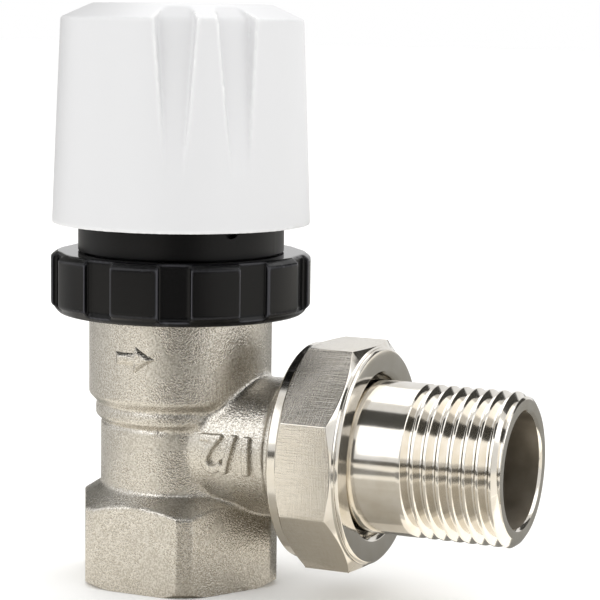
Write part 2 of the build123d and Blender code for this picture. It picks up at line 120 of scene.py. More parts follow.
def on_outlet(piece):
    """Lays a piece turned about Z along the outlet's axis."""
    return settle(piece, location=(0, 0, OUTLET_Z), rotation=(0, math.pi / 2, 0))


def modify(piece, kind, **settings):
    """Adds a modifier with its settings and applies it."""
    modifier = piece.modifiers.new(kind.title(), kind)
    for name, value in settings.items():
        setattr(modifier, name, value)
    pick(piece)
    bpy.ops.object.modifier_apply(modifier=modifier.name)


def combine(piece, tool, operation, solver="MANIFOLD"):
    """Unites a piece with a tool, or cuts one by the other, and throws the tool away."""
    modify(piece, "BOOLEAN", object=tool, operation=operation, solver=solver)
    bpy.data.objects.remove(tool)


def smooth_over(piece, angle=32):
    """Shades a piece smooth apart from its sharp edges."""
    pick(piece)
    bpy.ops.object.shade_smooth_by_angle(angle=math.radians(angle))


def soft_skin(piece, voxel, smoothing):
    """Fuses a piece into one skin with its edges rounded over, as a die or a mould leaves them."""
    modify(piece, "REMESH", mode="VOXEL", voxel_size=voxel * MM, use_smooth_shade=True)
    modify(piece, "SMOOTH", factor=0.5, iterations=smoothing)


deselect()
bpy.ops.mesh.primitive_cylinder_add(
    vertices=6, radius=HEX_AF / math.sqrt(3) * MM, depth=(HEX_TOP_Z + PAST) * MM
)
forging = settle(bpy.context.object, (0, 0, (HEX_TOP_Z - PAST) / 2), (0, 0, math.pi / 2))
forging.name = "forged_body"
combine(forging, turn("hex_turning", [
    (0, -2 * PAST),
    (HEX_CORNER_R, -2 * PAST),
    (HEX_CORNER_R, HEX_SHOULDER_Z),
    (WAIST_R, HEX_TOP_Z),
    (0, HEX_TOP_Z),
]), "INTERSECT")
combine(forging, turn("neck", [
    (0, NECK_ROOT_Z),
    (WAIST_R, NECK_ROOT_Z),
    (WAIST_R, WAIST_TOP_Z),
    (WAIST_R - CREASE, WAIST_TOP_Z + 0.3),
    (BAND_R, BAND_LOW_Z),
    (BAND_R, BAND_TOP_Z),
    (BAND_R - CREASE, BAND_TOP_Z + 0.35),
    (NECK_R, NECK_LOW_Z),
    (NECK_R, NECK_TOP_Z),
    (0, NECK_TOP_Z),
]), "UNION")
combine(forging, on_outlet(turn("branch", [
    (0, BRANCH_ROOT_X),
    (BRANCH_R, BRANCH_ROOT_X),
    (BRANCH_R, BRANCH_RIM_X - 0.4),
    (BRANCH_RIM_R, BRANCH_RIM_X),
    (BRANCH_RIM_R, BRANCH_RIM_X + 0.9),
    (BRANCH_NOSE_R, BRANCH_RIM_X + 1.2),
    (BRANCH_NOSE_R, BRANCH_NOSE_X),
    (0, BRANCH_NOSE_X),
])), "UNION")
soft_skin(forging, FORGED_VOXEL, FORGED_SMOOTHING)

# The corner between the neck and the branch is filled out round, as the metal flows in the die. The wall
# that the branch meets is the waist's, then the band's, then the neck's.
FILLET_REACH = 1.4
FILLET_SMOOTHING = 30
BAND_FROM_Z = 23.3
NECK_FROM_Z = 26
fillet = forging.vertex_groups.new(name="fillet")
for vertex in forging.data.vertices:
    x, y, z = (c / MM for c in vertex.co)
    wall_r = WAIST_R if z < BAND_FROM_Z else BAND_R if z < NECK_FROM_Z else NECK_R
    by_wall = abs(math.hypot(x, y) - wall_r) < FILLET_REACH
    by_branch = abs(math.hypot(y, z - OUTLET_Z) - BRANCH_R) < FILLET_REACH
    if x > 0 and z > HEX_TOP_Z and by_wall and by_branch:
        fillet.add([vertex.index], 1.0, "ADD")
modify(forging, "SMOOTH", factor=0.5, iterations=FILLET_SMOOTHING, vertex_group="fillet")

# The forging die leaves two raised marks: a flow arrow on the neck, with a drafted rim, and the pipe size
# on the side of the branch, upside down, in round strokes.
MARK_VOXEL = 0.12
ARROW_HEIGHT = 0.5
ARROW_DRAFT = 0.6
ARROW_SINK = 0.6
ARROW_SMOOTHING = 5
ARROW = [
    (-3.55, 31.85),
    (-0.6, 31.85),
    (-0.6, 30.7),
    (2.7, 32.9),
    (-0.3, 34.7),
    (-0.6, 33.75),
    (-3.65, 33.75),
]
SIZE_MARK = "1/2"
SIZE_MARK_CENTRE = (11.85, 20.15)
SIZE_MARK_SPAN = (7.6, 5.6)
SIZE_MARK_SINK = 1.2
SIZE_MARK_DEPTH = 4
SIZE_MARK_ENDS_X = (5, 18)
STROKE_GROWTH = 0.03
STROKE_SMOOTHING = 14
STROKE_HEIGHT = 0.75


def raise_mark(mark, depth, draft=0):
    """Pulls a flat mark facing -Y forward into a block, in mm, and an arrow on into its drafted front."""
    pick(mark)
    bpy.ops.object.mode_set(mode="EDIT")
    bpy.ops.mesh.select_all(action="SELECT")
    bpy.ops.mesh.remove_doubles(threshold=1e-7)
    bpy.ops.mesh.extrude_region_move(TRANSFORM_OT_translate={"value": (0, -depth * MM, 0)})
    if draft:
        bpy.ops.mesh.inset(thickness=draft * MM, depth=ARROW_HEIGHT * MM)
    bpy.ops.mesh.select_all(action="SELECT")
    bpy.ops.mesh.normals_make_consistent(inside=False)
    bpy.ops.object.mode_set(mode="OBJECT")


deselect()
bpy.ops.mesh.primitive_circle_add(vertices=len(ARROW), radius=MM, fill_type="NGON")
arrow = bpy.context.object
for vertex, (x, z) in zip(arrow.data.vertices, ARROW):
    vertex.co = (x * MM, 0, z * MM)
raise_mark(arrow, ARROW_SINK, ARROW_DRAFT)
for vertex in arrow.data.vertices:
    vertex.co.y -= math.sqrt((NECK_R * MM) ** 2 - vertex.co.x ** 2) - ARROW_SINK * MM
soft_skin(arrow, MARK_VOXEL, ARROW_SMOOTHING)
combine(forging, arrow, "UNION")

deselect()
bpy.ops.object.text_add()
size_mark = bpy.context.object
size_mark.data.body = SIZE_MARK
size_mark.data.align_x = "CENTER"
size_mark.data.offset = STROKE_GROWTH
bpy.ops.object.convert(target="MESH")
size_mark = bpy.context.object
corners = [Vector(c) for c in size_mark.bound_box]
middle = (corners[0] + corners[6]) / 2
for vertex in size_mark.data.vertices:
    vertex.co -= middle
width, height = SIZE_MARK_SPAN
have_width, have_height, _ = size_mark.dimensions
size_mark.scale = (MM * width / have_width, MM * height / have_height, MM)
bpy.ops.object.transform_apply(location=True, rotation=True, scale=True)
settle(size_mark, (0, 0, 0), (math.pi / 2, 0, 0))
mark_x, mark_z = SIZE_MARK_CENTRE
settle(size_mark, (mark_x, SIZE_MARK_SINK - BRANCH_R, mark_z), (0, math.pi, 0))
raise_mark(size_mark, SIZE_MARK_DEPTH)
mark_r = BRANCH_R + STROKE_HEIGHT
low_x, high_x = SIZE_MARK_ENDS_X
combine(size_mark, on_outlet(turn("mark_face", [
    (0, low_x),
    (mark_r, low_x),
    (mark_r, high_x),
    (0, high_x),
])), "INTERSECT", "EXACT")
soft_skin(size_mark, MARK_VOXEL, STROKE_SMOOTHING)
combine(forging, size_mark, "UNION")

# Machining after the forging: the chamfered foot, the threads of the head and the union, the inlet
# thread and the flow passage from the inlet past the seat to the outlet. A thread's form is its pitch,
# depth, half angle in degrees and half width at the root.
PIPE_THREAD = (1.814, 1.162, 27.5, 0.13)
HEAD_THREAD = (1.5, 0.92, 30, 0.16)
THREAD_STEPS = 90
THREAD_OVER = 0.06
FOOT_R = 14.1
FOOT_SPREAD = 1.5
FOOT_RISE = 1.005
FAR_R = 40
FAR_Z = 60
HEAD_R = 15
HEAD_THREAD_Z = 40.2
BODY_TOP_Z = 44
UNION_R = 13.22
UNION_THREAD_X = 20.6
UNION_FACE_X = 26.6
UNION_EDGE = 0.7
INLET_MOUTH_R = 10.92
INLET_MOUTH_H = 1.6
INLET_R = 9.32
INLET_DEPTH = 12.6
SEAT_BORE_R = 5.5
SEAT_R = 6.4
SEAT_LIP_R = 6.8
SEAT_Z = 15.8
CHAMBER_R = 8.9
CHAMBER_LOW_Z = 14.8
BONNET_R = 10
BONNET_SEAT_Z = 29.5
PASSAGE_R = 5.2
PASSAGE_X = (6, 13.5)
OUTLET_R = 7.2
OUTLET_X = 15.5
NOSE_SEAT_X = 23.4
NOSE_SEAT_R = 10


def thread_tool(form, low, high, top_r, run_out, inward=True):
    """A helical tool for a right-hand thread of that form between two heights, that bites below top_r and
    runs out over its first part of a turn. An outside thread is cut inward, an inside one outward."""
    pitch, depth, half_angle, root = form
    sign = -1 if inward else 1
    mouth = root + (depth + THREAD_OVER) * math.tan(math.radians(half_angle))
    section = [
        (top_r + sign * depth, -root),
        (top_r + sign * depth, root),
        (top_r - sign * THREAD_OVER, mouth),
        (top_r - sign * THREAD_OVER, -mouth),
    ]
    turns = (high - low) / pitch
    deselect()
    bpy.ops.mesh.primitive_circle_add(vertices=len(section), radius=MM)
    tool = bpy.context.object
    for vertex, (r, z) in zip(tool.data.vertices, section):
        vertex.co = (r * MM, 0, (low + z) * MM)
    steps = round(THREAD_STEPS * turns)
    modify(tool, "SCREW", angle=math.tau * turns, screw_offset=pitch * turns * MM, steps=steps,
           render_steps=steps, use_smooth_shade=False)
    for index, vertex in enumerate(tool.data.vertices):
        step = index // len(section)
        lift = max(0, 1 - step / (run_out * THREAD_STEPS)) * (depth + 2 * THREAD_OVER)
        radius = math.hypot(vertex.co.x, vertex.co.y)
        share = (radius - sign * lift * MM) / radius
        vertex.co.x *= share
        vertex.co.y *= share
    pick(tool)
    bpy.ops.object.mode_set(mode="EDIT")
    bpy.ops.mesh.select_all(action="SELECT")
    bpy.ops.mesh.fill_holes(sides=len(section))
    bpy.ops.mesh.normals_make_consistent(inside=False)
    bpy.ops.object.mode_set(mode="OBJECT")
    return tool


combine(forging, turn("foot_turning", [
    (0, 0),
    (FOOT_R, 0),
    (FOOT_R + FOOT_SPREAD, FOOT_RISE),
    (FAR_R, FOOT_RISE),
    (FAR_R, FAR_Z),
    (0, FAR_Z),
]), "INTERSECT")
head_thread = turn("head_thread", [
    (0, HEAD_THREAD_Z - 1.7),
    (NECK_R - 0.5, HEAD_THREAD_Z - 1.7),
    (NECK_R, HEAD_THREAD_Z - 1.2),
    (HEAD_R, HEAD_THREAD_Z),
    (HEAD_R, BODY_TOP_Z - 0.6),
    (HEAD_R - 0.6, BODY_TOP_Z),
    (0, BODY_TOP_Z),
])
head_tool = thread_tool(HEAD_THREAD, HEAD_THREAD_Z + 0.4, BODY_TOP_Z + 2, HEAD_R, run_out=0.4)
combine(head_thread, head_tool, "DIFFERENCE")
combine(forging, head_thread, "UNION")
union_thread = turn("union_thread", [
    (0, UNION_THREAD_X - 1.1),
    (BRANCH_NOSE_R - 0.2, UNION_THREAD_X - 1.1),
    (BRANCH_NOSE_R, UNION_THREAD_X - 0.3),
    (UNION_R - 0.9, UNION_THREAD_X),
    (UNION_R, UNION_THREAD_X + 0.9),
    (UNION_R, UNION_FACE_X - UNION_EDGE),
    (UNION_R - UNION_EDGE, UNION_FACE_X),
    (0, UNION_FACE_X),
])
union_tool = thread_tool(PIPE_THREAD, UNION_THREAD_X + 1, UNION_FACE_X + 2.4, UNION_R, run_out=0.3)
combine(union_thread, union_tool, "DIFFERENCE")
combine(forging, on_outlet(union_thread), "UNION")
combine(forging, turn("bores", [
    (0, -PAST),
    (INLET_MOUTH_R, -PAST),
    (INLET_MOUTH_R, 0),
    (INLET_R, INLET_MOUTH_H),
    (INLET_R, INLET_DEPTH),
    (SEAT_BORE_R, INLET_DEPTH),
    (SEAT_BORE_R, SEAT_Z),
    (SEAT_R, SEAT_Z),
    (SEAT_LIP_R, CHAMBER_LOW_Z),
    (CHAMBER_R, CHAMBER_LOW_Z),
    (CHAMBER_R, BONNET_SEAT_Z),
    (BONNET_R, BONNET_SEAT_Z),
    (BONNET_R, BODY_TOP_Z + PAST),
    (0, BODY_TOP_Z + PAST),
]), "DIFFERENCE")
combine(forging, on_outlet(turn("passage", [
    (0, PASSAGE_X[0]),
    (PASSAGE_R, PASSAGE_X[0]),
    (PASSAGE_R, PASSAGE_X[1]),
    (OUTLET_R, OUTLET_X),
    (OUTLET_R, NOSE_SEAT_X),
    (NOSE_SEAT_R, NOSE_SEAT_X),
    (NOSE_SEAT_R, UNION_FACE_X - 0.5),
    (NOSE_SEAT_R + 0.5, UNION_FACE_X),
    (NOSE_SEAT_R + 0.5, UNION_FACE_X + 1.4),
    (0, UNION_FACE_X + 1.4),
])), "DIFFERENCE")
inlet_tool = thread_tool(PIPE_THREAD, -2 * PAST, INLET_DEPTH - 0.6, INLET_R, run_out=0.3, inward=False)
combine(forging, inlet_tool, "DIFFERENCE")
smooth_over(forging)


def linear(code):
    """A colour's sRGB hex code as linear red, green, blue and alpha."""
    parts = [int(code[i:i + 2], 16) / 255 for i in (1, 3, 5)]
    return [c / 12.92 if c <= 0.04045 else ((c + 0.055) / 1.055) ** 2.4 for c in parts] + [1]


def add(tree, kind, inputs=None, **settings):
    """Adds a shader node with its settings, and sets or links its inputs."""
    made = tree.nodes.new(kind)
    for name, value in settings.items():
        setattr(made, name, value)
    for socket, value in (inputs or {}).items():
        if isinstance(value, bpy.types.NodeSocket):
            tree.links.new(value, made.inputs[socket])
        else:
            made.inputs[socket].default_value = value
    return made


def start_material(name):
    """An empty material and its object coordinates."""
    material = bpy.data.materials.new(name)
    material.use_nodes = True
    tree = material.node_tree
    tree.nodes.clear()
    return material, tree, add(tree, "ShaderNodeTexCoord").outputs["Object"]


def finish_material(tree, inputs):
    """The material's one shader, wired to its output."""
    shader = add(tree, "ShaderNodeBsdfPrincipled", inputs)
    add(tree, "ShaderNodeOutputMaterial", {"Surface": shader.outputs["BSDF"]})


def blend_colours(tree, value, low, high, start=0.3, end=0.7):
    """Two colours blended along a value."""
    made = add(tree, "ShaderNodeValToRGB", {"Fac": value})
    stops = made.color_ramp.elements
    stops[0].position, stops[1].position = start, end
    stops[0].color, stops[1].color = linear(low), linear(high)
    return made.outputs["Color"]


def dress(piece, *materials):
    """Gives a piece these materials and no others."""
    piece.data.materials.clear()
    for material in materials:
        piece.data.materials.append(material)


# Shot-blasted nickel plate: overlapping dents about a quarter of a millimetre across break the warm grey
# reflection into light and dark grains. The dents' floors are painted darker, a painted shade.
GRAIN = 0.24
DENT_DEPTH = 0.085
STAIN = 5
blasted_nickel, tree, place = start_material("blasted_nickel_plate")
grain = add(tree, "ShaderNodeTexNoise", {"Vector": place, "Scale": 1 / (GRAIN * MM), "Detail": 1.5})
stain = add(tree, "ShaderNodeTexNoise", {"Vector": place, "Scale": 1 / (STAIN * MM), "Detail": 3.0})
dents = add(tree, "ShaderNodeBump",
            {"Height": grain.outputs["Fac"], "Strength": 1.0, "Distance": DENT_DEPTH * MM})
rough = add(tree, "ShaderNodeMapRange", {"Value": stain.outputs["Fac"], "To Min": 0.22, "To Max": 0.32})
# Painted shade: the base colour darkens with the same noise that sinks the dents.
finish_material(tree, {
    "Base Color": blend_colours(tree, grain.outputs["Fac"], "#B8B2A7", "#DCD8D0", 0.36, 0.62),
    "Metallic": 1.0,
    "Roughness": rough.outputs["Result"],
    "Normal": dents.outputs["Normal"],
})

# Turned metal: fine tool lines round the piece's axis over a bright finish. The lines are drawn coarser
# than the few hundredths of a millimetre that they are, so that a picture keeps them.
TOOL_LINE = 0.14
TOOL_LINE_DEPTH = 0.006
CLOUD = 3
POLISH_SPREAD = (0.75, 1.3)


def turned_metal(name, axis, roughness, low, high):
    """Metal in two shades of one colour, with tool lines round the axis that is named."""
    material, tree, place = start_material(name)
    parts = add(tree, "ShaderNodeSeparateXYZ", {"Vector": place})
    if axis == "X":
        along, across, height = parts.outputs
        height = add(tree, "ShaderNodeMath", {0: height, 1: OUTLET_Z * MM}, operation="SUBTRACT").outputs[0]
    else:
        across, height, along = parts.outputs
    flat = add(tree, "ShaderNodeCombineXYZ", {"X": across, "Y": height})
    radius = add(tree, "ShaderNodeVectorMath", {0: flat.outputs[0]}, operation="LENGTH")
    lathe = add(tree, "ShaderNodeCombineXYZ", {"X": along, "Y": radius.outputs["Value"]})
    lines = add(tree, "ShaderNodeTexNoise",
                {"Vector": lathe.outputs[0], "Scale": 1 / (TOOL_LINE * MM), "Detail": 2.0})
    cloud = add(tree, "ShaderNodeTexNoise", {"Vector": place, "Scale": 1 / (CLOUD * MM), "Detail": 3.0})
    bump = add(tree, "ShaderNodeBump",
               {"Height": lines.outputs["Fac"], "Strength": 0.25, "Distance": TOOL_LINE_DEPTH * MM})
    smoothest, roughest = (roughness * share for share in POLISH_SPREAD)
    polish = add(tree, "ShaderNodeMapRange",
                 {"Value": cloud.outputs["Fac"], "To Min": smoothest, "To Max": roughest})
    finish_material(tree, {
        "Base Color": blend_colours(tree, cloud.outputs["Fac"], low, high),
        "Metallic": 1.0,
        "Roughness": polish.outputs["Result"],
        "Normal": bump.outputs["Normal"],
    })
    return material


# The plate is bright where a tool has been: under the foot, in the inlet and on both outside threads.
MACHINED_BELOW_Z = 0.03
MACHINED_ABOVE_Z = 39.2
MACHINED_FROM_X = 19.2
MACHINED_WITHIN_R = 10.95
machined_nickel = turned_metal("machined_nickel_plate", "Z", 0.2, "#CFC9BE", "#DCD8D0")
dress(forging, blasted_nickel, machined_nickel)
for face in forging.data.polygons:
    x, y, z = (c / MM for c in face.center)
    in_inlet = math.hypot(x, y) < MACHINED_WITHIN_R and z < HEX_TOP_Z
    if z < MACHINED_BELOW_Z or z > MACHINED_ABOVE_Z or x > MACHINED_FROM_X or in_inlet:
        face.material_index = 1
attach(forging, "valve")
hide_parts("valve_body")

# Plug, stem and bonnet: turned brass and ground stainless steel, hidden in the neck. The plug's rubber
# disc closes the seat, the stem slides in the gland, and the bonnet screws into the top of the neck.
turned_brass = turned_metal("turned_brass", "Z", 0.24, "#B08D55", "#C8A76B")
ground_stainless = turned_metal("ground_stainless_steel", "Z", 0.16, "#B4B2AE", "#C9C7C3")
for node in ("plug", "plug_nut", "bonnet", "gland_nut"):
    dress(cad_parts[node], turned_brass)
for node in ("stem", "spring_washer", "stem_clip"):
    dress(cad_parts[node], ground_stainless)

# Seals: black peroxide-cured rubber, moulded. The disc is under the plug, two rings seal the stem, one
# the bonnet and one the tailpiece. Their skin is matt with a fine bloom.
BLOOM = 0.5
BLOOM_DEPTH = 0.01
moulded_rubber, tree, place = start_material("moulded_black_rubber")
bloom = add(tree, "ShaderNodeTexNoise", {"Vector": place, "Scale": 1 / (BLOOM * MM), "Detail": 3.0})
bump = add(tree, "ShaderNodeBump",
           {"Height": bloom.outputs["Fac"], "Strength": 0.3, "Distance": BLOOM_DEPTH * MM})
finish_material(tree, {
    "Base Color": blend_colours(tree, bloom.outputs["Fac"], "#141415", "#242425"),
    "Roughness": 0.62,
    "Normal": bump.outputs["Normal"],
})
for node in ("plug_seal", "stem_o_ring_lower", "stem_o_ring_upper", "bonnet_o_ring", "tail_o_ring"):
    dress(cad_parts[node], moulded_rubber)

# Return spring: hard-drawn stainless wire, coiled cold and ground flat at both ends. It stands on the
# bonnet's floor, lifts the stem by its washer and shortens as the stem goes down.
SPRING_LOW_Z = 32.0
SPRING_TOP_Z = 41.2
SPRING_R = 3.6
SPRING_TURNS = 4.5
WIRE_R = 0.45
WIRE_SIDES = 16
END_GAP = 0.02
TURN_STEPS = 48
spring_height = SPRING_TOP_Z - SPRING_LOW_Z
deselect()
bpy.ops.mesh.primitive_circle_add(vertices=WIRE_SIDES, radius=WIRE_R * MM)
spring = settle(bpy.context.object, (SPRING_R, 0, SPRING_LOW_Z), (math.pi / 2, 0, 0))
spring.name = "coil_spring"
spring_steps = round(SPRING_TURNS * TURN_STEPS)
modify(spring, "SCREW", angle=math.tau * SPRING_TURNS, screw_offset=spring_height * MM, steps=spring_steps,
       render_steps=spring_steps, use_smooth_shade=True)
bpy.ops.object.mode_set(mode="EDIT")
bpy.ops.mesh.select_all(action="SELECT")
bpy.ops.mesh.fill_holes(sides=WIRE_SIDES)
bpy.ops.mesh.normals_make_consistent(inside=False)
for height, outward in ((SPRING_LOW_Z + END_GAP, -1), (SPRING_TOP_Z - END_GAP, 1)):
    bpy.ops.mesh.select_all(action="SELECT")
    bpy.ops.mesh.bisect(plane_co=(0, 0, height * MM), plane_no=(0, 0, outward), use_fill=True,
                        clear_outer=True)
bpy.ops.object.mode_set(mode="OBJECT")
smooth_over(spring, 50)

# Drawn wire: bright, with long die lines round the coil.
drawn_wire = turned_metal("drawn_stainless_wire", "Z", 0.28, "#9E9C98", "#BDBBB7")
dress(spring, drawn_wire)
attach(spring, "valve")
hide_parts("return_spring")
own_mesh(spring)

# Union tailpiece: turned from brass bar and nickel-plated bright, with a plain shank and a pipe thread
# for the radiator. The union nut holds it by its collar.
TAIL_BORE_R = 7.84
TAIL_NOSE_R = 9.9
TAIL_NOSE_X = 23.75
SEAL_GROOVE_R = 8.75
SEAL_GROOVE_X = (24.6, 25.9)
COLLAR_R = 11.95
COLLAR_X = (26.65, 28.25)
SHANK_R = 10.5
TAIL_THREAD_X = 37.2
TAIL_END_X = 51.48
PIPE_R = 10.4775
TAIL_EDGE = 0.1
tail = turn("threaded_tailpiece", [
    (TAIL_BORE_R, TAIL_NOSE_X),
    (TAIL_NOSE_R - 0.5, TAIL_NOSE_X),
    (TAIL_NOSE_R, TAIL_NOSE_X + 0.5),
    (TAIL_NOSE_R, SEAL_GROOVE_X[0]),
    (SEAL_GROOVE_R, SEAL_GROOVE_X[0]),
    (SEAL_GROOVE_R, SEAL_GROOVE_X[1]),
    (TAIL_NOSE_R, SEAL_GROOVE_X[1]),
    (TAIL_NOSE_R, COLLAR_X[0]),
    (COLLAR_R, COLLAR_X[0]),
    (COLLAR_R, COLLAR_X[1]),
    (SHANK_R, COLLAR_X[1]),
    (SHANK_R, TAIL_THREAD_X - 0.5),
    (PIPE_R, TAIL_THREAD_X),
    (PIPE_R, TAIL_END_X - 0.9),
    (PIPE_R - 0.35, TAIL_END_X - 0.4),
    (PIPE_R - 0.95, TAIL_END_X),
    (TAIL_BORE_R + 0.35, TAIL_END_X),
    (TAIL_BORE_R, TAIL_END_X - 0.35),
], steps=180)
tail_tool = thread_tool(PIPE_THREAD, TAIL_THREAD_X, TAIL_END_X + 2, PIPE_R, run_out=0.7)
combine(tail, tail_tool, "DIFFERENCE")
on_outlet(tail)
modify(tail, "BEVEL", width=TAIL_EDGE * MM, segments=2, limit_method="ANGLE", angle_limit=math.radians(40))
smooth_over(tail)
bright_nickel = turned_metal("bright_nickel_plate", "X", 0.11, "#D3CDC2", "#DEDAD3")

# The drilled bore is darker and rougher than the outside, with drill marks.
DRILLED_WITHIN_R = 7.9
drilled_bore = turned_metal("drilled_bore_plate", "X", 0.55, "#8A8275", "#A0988B")
dress(tail, bright_nickel, drilled_bore)
for face in tail.data.polygons:
    if math.hypot(face.center.y, face.center.z - OUTLET_Z * MM) < DRILLED_WITHIN_R * MM:
        face.material_index = 1
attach(tail, "tail")
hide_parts("tailpiece")

# Union nut: turned and milled from brass, nickel-plated, with eight flats between two turned ends.
# It screws on to the branch and draws the tailpiece's collar against it.
NUT_AF = 30.4
NUT_BAND_R = 15.0
NUT_REAR_X = 20.4
NUT_FACE_X = 30.82
NUT_FLATS_X = (22.86, 29.0)
NUT_SLOPE = 1.0
NUT_THREAD_R = 13.32
NUT_LEAD = 0.7
NUT_HOLE_R = 11.2
NUT_HOLE_EDGE = 0.55
NUT_FLANGE_X = 28.3
NUT_BAR_X = (10, 40)
NUT_BAR_R = NUT_AF / 2 / math.cos(math.pi / 8)
NUT_CORNER_R = NUT_BAR_R + 0.2
NUT_EDGE = 0.14
nut = turn("octagon_union_nut", [
    (NUT_THREAD_R + NUT_LEAD, NUT_REAR_X),
    (NUT_BAND_R - 0.3, NUT_REAR_X),
    (NUT_BAND_R, NUT_REAR_X + 0.3),
    (NUT_BAND_R, NUT_FLATS_X[0] - NUT_SLOPE),
    (NUT_CORNER_R, NUT_FLATS_X[0]),
    (NUT_CORNER_R, NUT_FLATS_X[1]),
    (NUT_BAND_R, NUT_FLATS_X[1] + NUT_SLOPE),
    (NUT_BAND_R, NUT_FACE_X - 0.45),
    (NUT_BAND_R - 0.2, NUT_FACE_X - 0.4),
    (NUT_BAND_R - 0.05, NUT_FACE_X - 0.35),
    (NUT_BAND_R - 0.4, NUT_FACE_X),
    (NUT_HOLE_R + NUT_HOLE_EDGE, NUT_FACE_X),
    (NUT_HOLE_R, NUT_FACE_X - NUT_HOLE_EDGE),
    (NUT_HOLE_R, NUT_FLANGE_X),
    (NUT_THREAD_R, NUT_FLANGE_X),
    (NUT_THREAD_R, NUT_REAR_X + NUT_LEAD),
], steps=192)
bar_low, bar_high = NUT_BAR_X
deselect()
bpy.ops.mesh.primitive_cylinder_add(vertices=8, radius=NUT_BAR_R * MM, depth=(bar_high - bar_low) * MM)
octagon = settle(bpy.context.object, (0, 0, (bar_low + bar_high) / 2), (0, 0, math.pi / 8))
combine(nut, octagon, "INTERSECT")
on_outlet(nut)
modify(nut, "BEVEL", width=NUT_EDGE * MM, segments=3, limit_method="ANGLE", angle_limit=math.radians(18))
smooth_over(nut)

# Cross-brushed nickel plate on the flats: two passes of an abrasive belt at right angles. Its scratches
# are drawn coarser than the few hundredths of a millimetre that they are, so that a picture keeps them.
SCRATCH_LENGTH = 2.2
SCRATCH_WIDTH = 0.17
SCRATCH_DEPTH = 0.03
FLAT_LEAN = 0.05
FLAT_SLACK = 0.02
brushed_nickel, tree, place = start_material("cross_brushed_nickel_plate")
hatch = []
for along, across in ((SCRATCH_LENGTH, SCRATCH_WIDTH), (SCRATCH_WIDTH, SCRATCH_LENGTH)):
    scale = [1 / (MM * stretch) for stretch in (along, across, across)]
    scaled = add(tree, "ShaderNodeMapping", {"Vector": place, "Scale": scale})
    scratches = add(tree, "ShaderNodeTexNoise", {"Vector": scaled.outputs[0], "Scale": 1.0, "Detail": 2.0})
    hatch.append(scratches.outputs["Fac"])
weave = add(tree, "ShaderNodeMath", {0: hatch[0], 1: hatch[1]}, operation="ADD")
bump = add(tree, "ShaderNodeBump",
           {"Height": weave.outputs[0], "Strength": 1.0, "Distance": SCRATCH_DEPTH * MM})
half = add(tree, "ShaderNodeMath", {0: weave.outputs[0], 1: 0.5}, operation="MULTIPLY")
finish_material(tree, {
    "Base Color": blend_colours(tree, half.outputs[0], "#D1CBC0", "#D9D4CB", 0.4, 0.6),
    "Metallic": 1.0,
    "Roughness": 0.26,
    "Normal": bump.outputs["Normal"],
})
dress(nut, bright_nickel, brushed_nickel)
for face in nut.data.polygons:
    out = face.center - Vector((0, 0, OUTLET_Z * MM))
    off_flat = abs(out.dot(face.normal) - NUT_AF / 2 * MM)
    if abs(face.normal.x) < FLAT_LEAN and off_flat < FLAT_SLACK * MM:
        face.material_index = 1
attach(nut, "nut")
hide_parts("union_nut")

# Mounting ring: black glass-filled nylon, moulded with ten flutes for the hand. It screws on to the
# neck and its lip holds the head's base down.
RING_LOW_Z = 38.1
RING_TOP_Z = 46.7
RING_R = 18.35
RING_RIM_R = 17.7
RING_FLUTES = 10
RING_FLUTE_W = 4.4
RING_FLUTE_FLOOR_R = 17.4
RING_FLUTE_LOW = 0.8
RING_FLUTE_ANGLE = -65.4
RING_CUTTER_DEPTH = 4
RING_CUTTER_HEIGHT = 12
RING_BORE_R = 15.1
RING_BORE_Z = (37, 48)
RING_LEAD = 0.6
RING_LIP_R = 13.7
RING_LIP_Z = 45.05
RING_VOXEL = 0.2
RING_SMOOTHING = 8
ring = turn("fluted_ring", [
    (0, RING_LOW_Z),
    (RING_RIM_R - 0.5, RING_LOW_Z),
    (RING_RIM_R, RING_LOW_Z + 0.5),
    (RING_RIM_R, RING_LOW_Z + 0.7),
    (RING_R, RING_LOW_Z + 1.2),
    (RING_R, RING_TOP_Z - 0.7),
    (RING_R - 0.9, RING_TOP_Z),
    (0, RING_TOP_Z),
])
cutter_span = (RING_CUTTER_DEPTH * MM, RING_FLUTE_W * MM, RING_CUTTER_HEIGHT * MM)
cutter_x = RING_FLUTE_FLOOR_R + RING_CUTTER_DEPTH / 2
cutter_z = RING_LOW_Z + RING_FLUTE_LOW + RING_CUTTER_HEIGHT / 2
for i in range(RING_FLUTES):
    angle = math.radians(RING_FLUTE_ANGLE + i * 360 / RING_FLUTES)
    deselect()
    bpy.ops.mesh.primitive_cube_add(size=1, scale=cutter_span)
    flute = settle(bpy.context.object, (cutter_x, 0, cutter_z))
    settle(flute, rotation=(0, 0, angle))
    combine(ring, flute, "DIFFERENCE")
soft_skin(ring, RING_VOXEL, RING_SMOOTHING)
combine(ring, turn("ring_bore", [
    (0, RING_BORE_Z[0]),
    (RING_BORE_R + RING_LEAD, RING_BORE_Z[0]),
    (RING_BORE_R + RING_LEAD, RING_LOW_Z),
    (RING_BORE_R, RING_LOW_Z + RING_LEAD),
    (RING_BORE_R, RING_LIP_Z),
    (RING_LIP_R, RING_LIP_Z),
    (RING_LIP_R, RING_BORE_Z[1]),
    (0, RING_BORE_Z[1]),
]), "DIFFERENCE")
smooth_over(ring)
